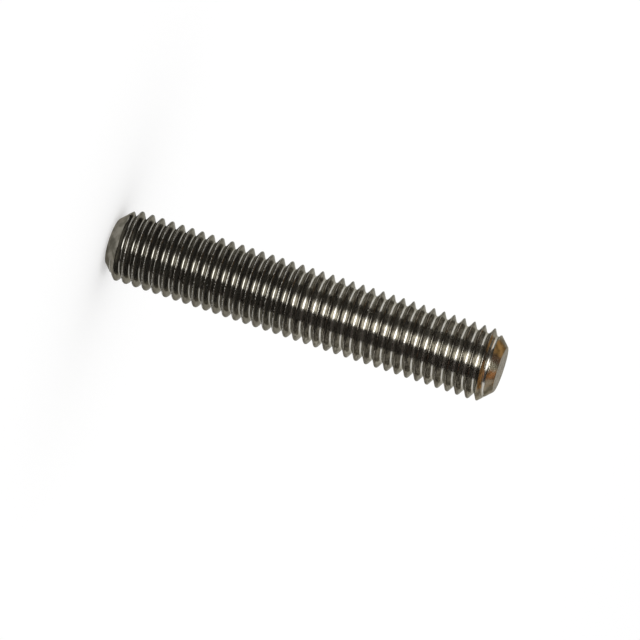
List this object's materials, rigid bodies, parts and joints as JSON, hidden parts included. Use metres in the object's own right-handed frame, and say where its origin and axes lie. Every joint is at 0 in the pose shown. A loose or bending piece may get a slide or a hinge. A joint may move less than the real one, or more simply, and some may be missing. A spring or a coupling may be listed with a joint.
{
  "type": "threaded stud",
  "caption": "Straight fully threaded steel stud with a fine right-hand thread and a 45 degree chamfer to a flat at both ends.",
  "frame": {"origin": "centre of the lower end face, which the stud stands on", "axes": "+Z along the stud's axis, from the lower end to the upper end"},
  "size_m": [0.0064, 0.0064, 0.0349],
  "materials": {
    "steel": "rolled thread, lightly oiled dark steel, fairly glossy"
  },
  "bodies": {
    "root": {"stud": "steel"}
  },
  "joints": []
}
